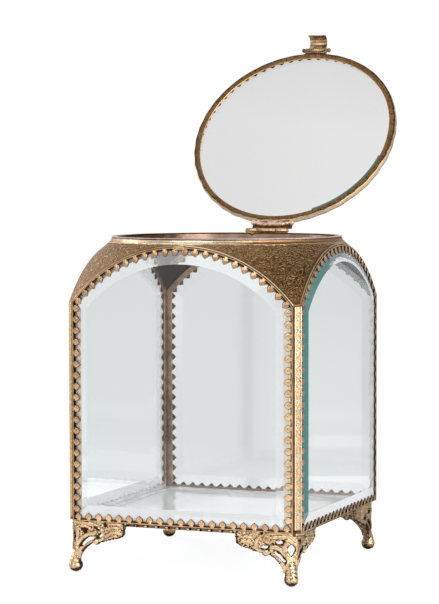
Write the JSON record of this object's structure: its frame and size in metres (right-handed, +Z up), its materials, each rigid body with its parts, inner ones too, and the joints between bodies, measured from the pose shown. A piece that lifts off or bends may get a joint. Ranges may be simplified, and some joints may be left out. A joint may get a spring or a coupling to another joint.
{
  "type": "glass casket box",
  "caption": "Square glass casket with arched bevelled panes in toothed brass frames, a domed canopy, a round hinged lid with a hook latch and pierced cast feet.",
  "frame": {"origin": "on the floor plane under the middle of the case", "axes": "+Z up, front (latch keeper side) towards -Y, hinge towards +Y, +X to the right seen from the front"},
  "size_m": [0.0908, 0.1474, 0.2023],
  "materials": {
    "glass": "polished bevelled plate",
    "frame_brass": "gilt, worn, with dark recesses",
    "stamped_brass": "bright stamped band",
    "embossed_copper": "dark patina over fine embossing",
    "collar_brass": "bright satin",
    "cast_brass": "antique gold casting with dark recesses",
    "fitting_brass": "worn gilt"
  },
  "bodies": {
    "case": {"front_glass": "glass", "back_glass": "glass", "left_glass": "glass", "right_glass": "glass", "base_glass": "glass", "front_frame": "frame_brass", "back_frame": "frame_brass", "left_frame": "frame_brass", "right_frame": "frame_brass", "base_frame": "frame_brass", "front_left_post": "stamped_brass", "front_right_post": "stamped_brass", "back_left_post": "stamped_brass", "back_right_post": "stamped_brass", "canopy": "embossed_copper", "collar": "collar_brass", "front_left_foot": "cast_brass", "front_right_foot": "cast_brass", "back_left_foot": "cast_brass", "back_right_foot": "cast_brass", "hinge_case_leaf": "fitting_brass", "hinge_pin": "fitting_brass", "latch_keeper": "fitting_brass"},
    "lid": {"lid_glass": "glass", "lid_frame": "frame_brass", "hinge_lid_leaf": "fitting_brass", "latch_bracket": "fitting_brass", "latch_pin": "fitting_brass"},
    "latch": {"latch_hook": "fitting_brass"}
  },
  "joints": [
    {"name": "lid_hinge", "type": "hinge", "parent": "case", "child": "lid", "pos_m": [0, 0.046, 0.1229], "axis": [1, 0, 0], "range_deg": [0, 125.3]},
    {"name": "latch_pivot", "type": "hinge", "parent": "lid", "child": "latch", "pos_m": [0.0006, 0.09812, 0.1959], "axis": [1, 0, 0], "range_deg": [0, 40]}
  ]
}
